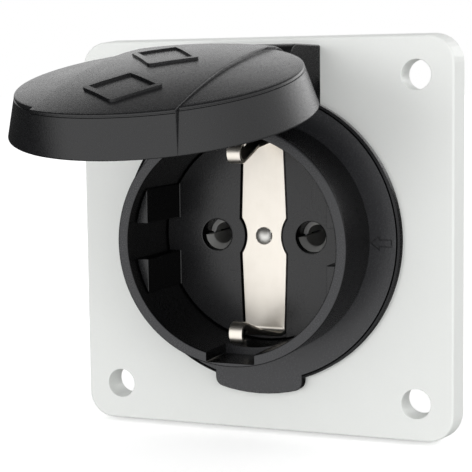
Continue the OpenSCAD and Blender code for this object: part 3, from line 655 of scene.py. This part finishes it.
# The hinge block: its side view in Z, and the ways cut out for the lid
BLOCK_HALF, BLOCK_FOOT_Z, BLOCK_TOP_Z, EAR_R = 12, 24.5, 35.65, 4.65
WAY_HALF, KNUCKLE_WAY_R, NECK_WAY, STOP_WAY, STOP_ANGLE = 8, 3.7, 13.95, 3.3, -105
PIN_HOLE_R = 1.23


def turned_about(centre, angle, points):
    """Points turned by an angle in degrees and moved to a centre."""
    c, s = math.cos(math.radians(angle)), math.sin(math.radians(angle))
    return [(centre[0] + x * c - y * s, centre[1] + x * s + y * c) for x, y in points]


def arc_points(radius, a0, a1, steps):
    """Points on an arc between two angles in degrees."""
    angles = [math.radians(a0 + (a1 - a0) * i / steps) for i in range(steps + 1)]
    return [(radius * math.cos(a), radius * math.sin(a)) for a in angles]


def hinge_block():
    """The block with its two ears, open between them for the lid's knuckle and neck."""
    pin = (HINGE_Z, HINGE_H)
    view = [(BLOCK_FOOT_Z, DISC_BACK), (BLOCK_TOP_Z, DISC_BACK), (BLOCK_TOP_Z, HINGE_H)]
    view += turned_about(pin, 0, arc_points(EAR_R, 9, 200, 26)) + [(25.7, 16.8), (BLOCK_FOOT_Z, 15.6)]
    solid = side_prism("hinge block", view, -BLOCK_HALF, BLOCK_HALF)
    soften(solid, 0.3, 30)
    ways = [circle(KNUCKLE_WAY_R, 48, pin),
        turned_about(pin, 0, [(0, 0), (0, -0.75), (-NECK_WAY, -0.75)] + arc_points(NECK_WAY, 180, 75, 8)),
        turned_about(pin, STOP_ANGLE, [(-NECK_WAY, -1), (0, -1), (0, STOP_WAY), (-NECK_WAY, STOP_WAY)])]
    cuts = [side_prism("way", way, -WAY_HALF, WAY_HALF) for way in ways]
    cuts.append(side_prism("pin hole", circle(PIN_HOLE_R, 48, pin), -BLOCK_HALF - 1, BLOCK_HALF + 1))
    return join_solid(solid, cuts, "DIFFERENCE")


def tab_solid():
    """The grip under the disc, with a curved lower edge."""
    lower = [(x, -math.sqrt(TAB_R ** 2 - x * x)) for x in range(-6, 7, 2)]
    outline = [(-TAB_HALF, -TAB_ROOT_Z), (-TAB_HALF, -TAB_SIDE_Z)] + lower
    outline += [(TAB_HALF, -TAB_SIDE_Z), (TAB_HALF, -TAB_ROOT_Z)]
    radii = [0, TAB_ROUND] + [0] * len(lower) + [TAB_ROUND, 0]
    tab = prism("tab", rounded(outline, radii, 6), DISC_BACK, DISC_TOP)
    soften(tab, 0.3, 60)
    return tab


def arrow_outline(grow):
    """The plain arrow on the disc, or the line round it where it is grown."""
    tip, head, back = ARROW_TIP - 1.7 * grow, ARROW_HEAD + grow, ARROW_BACK + grow
    wing, shaft = ARROW_WING + 1.5 * grow, ARROW_SHAFT + grow
    half = [(head, wing), (head, shaft), (back, shaft)]
    mirrored = [(x, -z) for x, z in reversed(half)]
    return [(x, ARROW_MID + z) for x, z in [(tip, 0)] + half + mirrored]


def body_mesh():
    """The socket body: disc, collar, barrel, lugs, tab and hinge block."""
    outline = rounded([(COLLAR_IN, BARREL_BACK), (BARREL_R, BARREL_BACK), (BARREL_R, DISC_BACK),
        (DISC_R, DISC_BACK), *DISC_EDGE, (COLLAR_OUT, DISC_TOP), (COLLAR_OUT, COLLAR_TOP),
        (COLLAR_IN, COLLAR_TOP)], [0, 0.2, 0, 0.1, 0.15, 0, 0, 0.05, 0, COLLAR_OUT_ROUND, COLLAR_IN_ROUND], 5)
    body = lathe("Body_Moulding", outline, 240)
    lugs = []
    for middle in (90, 210, 330):
        low, high = middle - LUG_HALF_ANGLE, middle + LUG_HALF_ANGLE
        outline = arc_points(LUG_OUT, low, high, 8) + arc_points(LUG_IN, high, low, 8)
        lugs.append(prism("lug", outline, LUG_LOW, LUG_HIGH))
    join_solid(body, [hinge_block(), tab_solid()] + lugs, "UNION")
    groove = lathe("seal groove", [(SEAL_IN, SEAL_LOW), (SEAL_OUT, SEAL_LOW), (SEAL_OUT, SEAL_HIGH),
        (SEAL_IN, SEAL_HIGH)])
    outline = rounded([(-NOTCH_HALF, NOTCH_LOW_Z), (NOTCH_HALF, NOTCH_LOW_Z), (NOTCH_HALF, NOTCH_HIGH_Z),
        (-NOTCH_HALF, NOTCH_HIGH_Z)], [0.3, 0.3, 0, 0], 3)
    notch = prism("notch", outline, NOTCH_FLOOR, COLLAR_TOP + 1.1)
    moat = prism("moat", arrow_outline(ARROW_LINE), DISC_TOP - ARROW_LINE_DEPTH, DISC_TOP + 1)
    screws = [prism("screw hole", circle(SCREW_R, 32, at), BARREL_BACK - 1, SCREW_END)
        for at in ((SCREW_AT, -SCREW_AT), (-SCREW_AT, SCREW_AT))]
    join_solid(body, [groove, notch, moat] + screws, "DIFFERENCE")
    return join_solid(body, [prism("arrow", arrow_outline(0), DISC_TOP - 0.4, ARROW_TOP)], "UNION")


# Contacts: radii, and heights above the panel, in millimetres

SLEEVE_R, SLEEVE_BORE, SLEEVE_LIP = 2.95, 2.4, 1.95
SLEEVE_FRONT, SHORT_FRONT, BORE_FLOOR, SLEEVE_BACK = 3.0, 0.2, -14.5, -15.2
SLOT_HALF, SLOT_END, PAST = 0.2, -9.2, 6
PLATE_HALF, PLATE_ROUND, PLATE_BACK, PLATE_FRONT = 4, 0.5, -16.2, -15.1
SPIGOT_R, SPIGOT_BACK, SPIGOT_FRONT = 1.2, -17.4, -15.7


def block(name, x0, x1, z0, z1, h0, h1):
    """A box between two corners."""
    return prism(name, [(x0, z0), (x1, z0), (x1, z1), (x0, z1)], h0, h1)


def contact_mesh(name, x):
    """A slotted sleeve with a long and a short finger, drawn in behind its funnel mouth."""
    front = SLEEVE_FRONT
    outline = rounded([(0, BORE_FLOOR), (SLEEVE_BORE, BORE_FLOOR), (SLEEVE_BORE, front - 3.6),
        (SLEEVE_LIP, front - 2.6), (SLEEVE_LIP, front - 1.5), (SLEEVE_R - 0.05, front),
        (SLEEVE_R, front - 0.1), (SLEEVE_R, SLEEVE_BACK), (0, SLEEVE_BACK)],
        [0, 0, 0.5, 0.3, 0.15, 0.03, 0.03, 0, 0], 3)
    sleeve = lathe(name, outline, 96)
    join_solid(sleeve, [block("slot", -PAST, PAST, -SLOT_HALF, SLOT_HALF, SLOT_END, front + 1),
        block("step", -PAST, PAST, 0, PAST, SHORT_FRONT, front + 1)], "DIFFERENCE")
    outline = rounded([(-PLATE_HALF, -PLATE_HALF), (PLATE_HALF, -PLATE_HALF), (PLATE_HALF, PLATE_HALF),
        (-PLATE_HALF, PLATE_HALF)], PLATE_ROUND, 3)
    foot = prism("foot", outline, PLATE_BACK, PLATE_FRONT)
    spigot = lathe("spigot", [(0, SPIGOT_FRONT), (SPIGOT_R, SPIGOT_FRONT), (SPIGOT_R, SPIGOT_BACK),
        (0, SPIGOT_BACK)], 48)
    join_solid(foot, [spigot], "UNION")
    join_solid(sleeve, [foot], "UNION")
    sleeve.data.transform(Matrix.Translation(Vector((x, 0, 0)) * MM))
    return sleeve


# Earth strip, in Z and height above the panel

STRIP_H, STRIP_FLAT, STRIP_SOFT, PIN_X, NECK_R, NECK_END = 4.15, 17.3, 0.13, 9.5, 6.05, 3.41
CLIP_FOOT_R, CLIP_LEAN, CLIP_TAPER_H = 1.3, 18, 9.35
ROLL_AT, ROLL_R, ROLL_END = (16.44, 17.30), 1.65, -10
FLAT_STEPS, FOOT_STEPS, CLIP_STEPS, ROLL_STEPS = 52, 14, 30, 22


def strip_mesh(sizes):
    """The strip swept along its side view, from one rolled clip over the floor to the other."""
    half, end, tongue = (w / MM / 2 for w in (sizes.width, sizes.end_width, sizes.tongue))
    t = sizes.thickness / MM
    mid = STRIP_H - t / 2

    def arc(centre, r, a0, a1, steps):
        return [Vector(centre) + Vector(p) for p in arc_points(r, a0, a1, steps)]

    foot = arc((STRIP_FLAT, mid + CLIP_FOOT_R), CLIP_FOOT_R, -90, CLIP_LEAN, FOOT_STEPS)
    roll = arc(ROLL_AT, ROLL_R, 180 + CLIP_LEAN, ROLL_END, ROLL_STEPS)
    path = [Vector((STRIP_FLAT * i / FLAT_STEPS, mid)) for i in range(FLAT_STEPS)] + foot
    path += [foot[-1].lerp(roll[0], i / CLIP_STEPS) for i in range(1, CLIP_STEPS)] + roll
    path = [Vector((-q.x, q.y)) for q in reversed(path[1:])] + path

    def half_width(q):
        z, h = abs(q.x), q.y
        if h > STRIP_H:
            return end + (tongue - end) * min(1.0, (h - STRIP_H) / (CLIP_TAPER_H - STRIP_H))
        if z < NECK_END:
            return PIN_X - math.sqrt(NECK_R ** 2 - z * z)
        return half + (end - half) * min(1.0, (z - NECK_END) / (STRIP_FLAT - NECK_END))

    corners = ((1, 1, 0), (-1, 1, 90), (-1, -1, 180), (1, -1, 270))
    section = [(sx, sy, x, y) for sx, sy, a0 in corners for x, y in arc_points(STRIP_SOFT, a0, a0 + 90, 3)]
    rows, last, up = [], len(path) - 1, t / 2 - STRIP_SOFT
    for i, q in enumerate(path):
        along = (path[min(i + 1, last)] - path[max(i - 1, 0)]).normalized()
        n, w = Vector((-along.y, along.x)), half_width(q) - STRIP_SOFT
        rows.append([(sx * w + dx, -(q.y + n.y * (sy * up + dy)), q.x + n.x * (sy * up + dy))
            for sx, sy, dx, dy in section])
    return loft("Earth_Strip_Spring", rows)


# Operators

class PieceOperator:
    """What the operators share"""

    bl_options = {"REGISTER", "UNDO"}


class PANELSOCKET_OT_lid(PieceOperator, bpy.types.Operator):
    """Build the hinged lid"""

    bl_idname = "panel_socket.lid"
    bl_label = "Lid"

    def execute(self, context):
        lid = lid_mesh(context.scene.panel_socket.lid)
        smooth(lid, 28)
        install(lid, "lid", "body_black", finish_of("body_black"), "lid")
        return {"FINISHED"}


class PANELSOCKET_OT_strip(PieceOperator, bpy.types.Operator):
    """Build the earth strip with its two clips"""

    bl_idname = "panel_socket.strip"
    bl_label = "Earth strip"

    def execute(self, context):
        strip = strip_mesh(context.scene.panel_socket.strip)
        smooth(strip, 50)
        install(strip, "socket", "nickel_plate", finish_of("nickel_plate"), "earth_strip")
        return {"FINISHED"}


class PANELSOCKET_OT_body(PieceOperator, bpy.types.Operator):
    """Build the socket body with its collar, hinge block and lugs"""

    bl_idname = "panel_socket.body"
    bl_label = "Socket body"

    def execute(self, context):
        body = body_mesh()
        smooth(body, 28)
        install(body, "socket", "body_black", finish_of("collar"), "socket_body")
        return {"FINISHED"}


class PANELSOCKET_OT_contacts(PieceOperator, bpy.types.Operator):
    """Build the two contacts"""

    bl_idname = "panel_socket.contacts"
    bl_label = "Contacts"

    def execute(self, context):
        for name, x in (("Left_Contact", -PIN_X), ("Right_Contact", PIN_X)):
            contact = contact_mesh(name, x)
            smooth(contact, 30)
            install(contact, "socket", "contact_brass", finish_of("sleeve"), name.lower())
        return {"FINISHED"}


CAD_WELD = 2e-6  # metres
CAD_EDGE = 0.15
OWN_FINISHES = {"earth_rivet": "rivet", "contact_insert": "insert"}


class PANELSOCKET_OT_carried(PieceOperator, bpy.types.Operator):
    """Finish the parts that keep their CAD shape"""

    bl_idname = "panel_socket.carried"
    bl_label = "Carried parts"

    def execute(self, context):
        slots = {entry["node"]: entry["material_slot"] for entry in frame["record"]["subparts"]}
        for name, obj in frame["nodes"].items():
            if obj.hide_render:
                continue
            if name == "flange":
                obj.visible_glossy = False
            weld = obj.modifiers.new("weld", "WELD")
            weld.merge_threshold = CAD_WELD
            flat = obj.modifiers.new("flat", "DECIMATE")
            flat.decimate_type, flat.angle_limit = "DISSOLVE", math.radians(1)
            edges = obj.modifiers.new("edges", "BEVEL")
            edges.width, edges.segments, edges.limit_method = CAD_EDGE * MM, 2, "ANGLE"
            edges.angle_limit = math.radians(35)
            edges.use_clamp_overlap = False
            finish, materials = finish_of(OWN_FINISHES.get(name, slots[name])), obj.data.materials
            if not materials:
                materials.append(finish)
            for i in range(len(materials)):
                materials[i] = finish
        return {"FINISHED"}


class PANELSOCKET_OT_stage(PieceOperator, bpy.types.Operator):
    """Set the floor, backdrop, lamps and camera"""

    bl_idname = "panel_socket.stage"
    bl_label = "Stage"

    def execute(self, context):
        p = context.scene.panel_socket.stage
        scene = context.scene
        scene.view_settings.view_transform = "Standard"
        build_camera(scene, p)
        build_floor(p)
        build_world(scene)
        lamp("Key_Light", at=(0.7, -1.2, 0.3), size=0.9, power=3.2)
        lamp("Fill_Light", at=(-0.3, -1.35, 0.1), size=0.5, power=4.3)
        return {"FINISHED"}


FLOOR_HALF, FLOOR_TONE, FLOOR_LIFT = 6, 0.9, 0.5


def build_camera(scene, p):
    """Stands the camera where the photo was taken, from its yaw, pitch and roll."""
    yaw, pitch, roll = p.aim
    ahead = Vector((-math.sin(yaw) * math.cos(pitch), math.cos(yaw) * math.cos(pitch), -math.sin(pitch)))
    across = Vector((math.cos(yaw), math.sin(yaw), 0))
    up = across.cross(ahead)
    right = across * math.cos(roll) + up * math.sin(roll)
    upright = up * math.cos(roll) - across * math.sin(roll)
    data = bpy.data.cameras.new("Camera")
    data.lens, data.sensor_width = p.lens, 36
    data.clip_start, data.clip_end = 0.01, 20
    camera = bpy.data.objects.new("Camera", data)
    scene.collection.objects.link(camera)
    turn = Matrix((right, upright, -ahead)).transposed()
    camera.matrix_world = Matrix.Translation(Vector(p.place)) @ turn.to_4x4()
    scene.camera = camera


def build_floor(p):
    """A white floor that keeps the shadow and is lifted to white for the camera alone."""
    low = CAD_BOX[0].z - p.floor_drop
    mesh = bpy.data.meshes.new("Floor")
    corners = ((-1, -1), (1, -1), (1, 1), (-1, 1))
    mesh.from_pydata([(x * FLOOR_HALF, y * FLOOR_HALF, low) for x, y in corners], [], [[0, 1, 2, 3]])
    floor = bpy.data.objects.new("Floor", mesh)
    bpy.context.scene.collection.objects.link(floor)
    made, tree, shader = material("Floor_White")
    shader.inputs["Base Color"].default_value = (FLOOR_TONE, FLOOR_TONE, FLOOR_TONE, 1)
    shader.inputs["Roughness"].default_value = 0.9
    seen = add(tree, "ShaderNodeLightPath").outputs["Is Camera Ray"]
    lift = add(tree, "ShaderNodeMath", {0: seen, 1: FLOOR_LIFT}, operation="MULTIPLY").outputs[0]
    shader.inputs["Emission Color"].default_value = (1, 1, 1, 1)
    tree.links.new(lift, shader.inputs["Emission Strength"])
    shader.inputs["Specular IOR Level"].default_value = 0.0
    mesh.materials.append(made)
    floor.visible_glossy = False


def build_world(scene):
    """Surroundings: even for soft light, partly dark in reflections, and white for the camera."""
    world = bpy.data.worlds.new("Studio")
    scene.world = world
    world.use_nodes = True
    tree = world.node_tree
    back = tree.nodes["Background"]
    way = add(tree, "ShaderNodeTexCoord").outputs["Generated"]
    x, y, z = add(tree, "ShaderNodeSeparateXYZ", {0: way}).outputs

    def maths(operation, *values):
        return add(tree, "ShaderNodeMath", dict(enumerate(values)), operation=operation).outputs[0]

    def folded(operation, first, *others):
        for other in others:
            first = maths(operation, first, other)
        return first

    def ramp(value, low, high, start=0.0, end=1.0):
        return add(tree, "ShaderNodeMapRange", {"Value": value, "From Min": low, "From Max": high,
            "To Min": start, "To Max": end}, interpolation_type="SMOOTHSTEP").outputs[0]

    # The turn from straight ahead of the socket, to the left where it is positive
    turn = maths("ARCTAN2", maths("MULTIPLY", x, -1.0), maths("MULTIPLY", y, -1.0))

    def turned(low, high, start=0.0, end=1.0):
        return ramp(turn, math.radians(low), math.radians(high), start, end)

    # Dark in reflections: the left side, both sides low down, and the right side's rear low down
    low_down = ramp(z, 0.02, 0.2, 1.0, 0.0)
    from_left, from_rear = turned(50, 80), turned(-180, -172)
    left_side = folded("MULTIPLY", from_left, turned(122, 142, 1.0, 0.0))
    left_low = folded("MULTIPLY", from_left, low_down)
    right_low = folded("MULTIPLY", turned(-140, -45, 0.72, 0.0), low_down)
    rear_right = folded("MULTIPLY", turned(-154, -144, 0.93, 0.0), from_rear, ramp(z, 0.05, 0.16, 1.0, 0.0))
    dark = folded("MAXIMUM", left_side, left_low, right_low, rear_right)
    lit = maths("MULTIPLY_ADD", dark, -0.97, 1.0)
    # Bright in reflections: the front, and a strip at the right side's rear that edges the lid
    edge_strip = folded("MULTIPLY", turned(-150, -118, 1.4, 0.0), from_rear, ramp(z, 0.06, 0.16),
        ramp(z, 0.3, 0.45, 1.0, 0.0))
    glow = maths("ADD", edge_strip, 1.0)
    overhead = ramp(z, 0.38, 0.7, 1.0, 0.12)
    ahead = ramp(y, -0.9, 0.1, 1.35, 1.0)
    mirrored = folded("MULTIPLY", lit, overhead, ahead, glow)
    # Soft light: stronger from below and from the right
    soft = folded("MULTIPLY", ramp(z, -0.3, 0.6, 1.2, 0.6), ramp(x, 0.1, 1.0, 1.0, 1.75))

    ray = add(tree, "ShaderNodeLightPath").outputs
    reflected = folded("MAXIMUM", ray["Is Glossy Ray"], ray["Is Transmission Ray"])
    plain = add(tree, "ShaderNodeMix", {"Factor": reflected, 2: soft, 3: mirrored},
        data_type="FLOAT").outputs[0]
    level = add(tree, "ShaderNodeMix", {"Factor": ray["Is Camera Ray"], 2: plain, 3: 1.0},
        data_type="FLOAT").outputs[0]
    back.inputs["Color"].default_value = (1, 1, 1, 1)
    tree.links.new(level, back.inputs["Strength"])


def lamp(name, at, size, power):
    """A round lamp aimed at the front of the part, which reflections don't show."""
    data = bpy.data.lights.new(name, "AREA")
    data.shape, data.size, data.energy = "DISK", size, power
    obj = bpy.data.objects.new(name, data)
    bpy.context.scene.collection.objects.link(obj)
    obj.visible_glossy = False
    at, aim = Vector(at), Vector((0, -0.01, 0))
    obj.matrix_world = Matrix.Translation(at) @ (aim - at).to_track_quat("-Z", "Y").to_matrix().to_4x4()


# Panel and registration

class PanelSocketSettings(bpy.types.PropertyGroup):
    """Everything a user may change"""

    lid: PointerProperty(type=LidSizes)
    strip: PointerProperty(type=StripSizes)
    finishes: PointerProperty(type=Finishes)
    stage: PointerProperty(type=StageSizes)


class PANELSOCKET_PT_build(bpy.types.Panel):
    """Lists the pieces"""

    bl_label = "Panel Socket"
    bl_idname = "PANELSOCKET_PT_build"
    bl_space_type = "VIEW_3D"
    bl_region_type = "UI"
    bl_category = "Panel Socket"

    def draw(self, context):
        for operator in OPERATORS:
            self.layout.operator(operator.bl_idname)


GROUPS = (LidSizes, StripSizes, Finishes, StageSizes, PanelSocketSettings)
OPERATORS = (PANELSOCKET_OT_lid, PANELSOCKET_OT_body, PANELSOCKET_OT_strip, PANELSOCKET_OT_contacts,
    PANELSOCKET_OT_carried, PANELSOCKET_OT_stage)


def register():
    for item in GROUPS + OPERATORS + (PANELSOCKET_PT_build,):
        bpy.utils.register_class(item)
    bpy.types.Scene.panel_socket = PointerProperty(type=PanelSocketSettings)


def unregister():
    del bpy.types.Scene.panel_socket
    for item in reversed(GROUPS + OPERATORS + (PANELSOCKET_PT_build,)):
        bpy.utils.unregister_class(item)


def main():
    register()
    bpy.ops.panel_socket.lid()
    bpy.ops.panel_socket.body()
    bpy.ops.panel_socket.strip()
    bpy.ops.panel_socket.contacts()
    bpy.ops.panel_socket.carried()
    bpy.ops.panel_socket.stage()


if __name__ == "__main__":
    main()
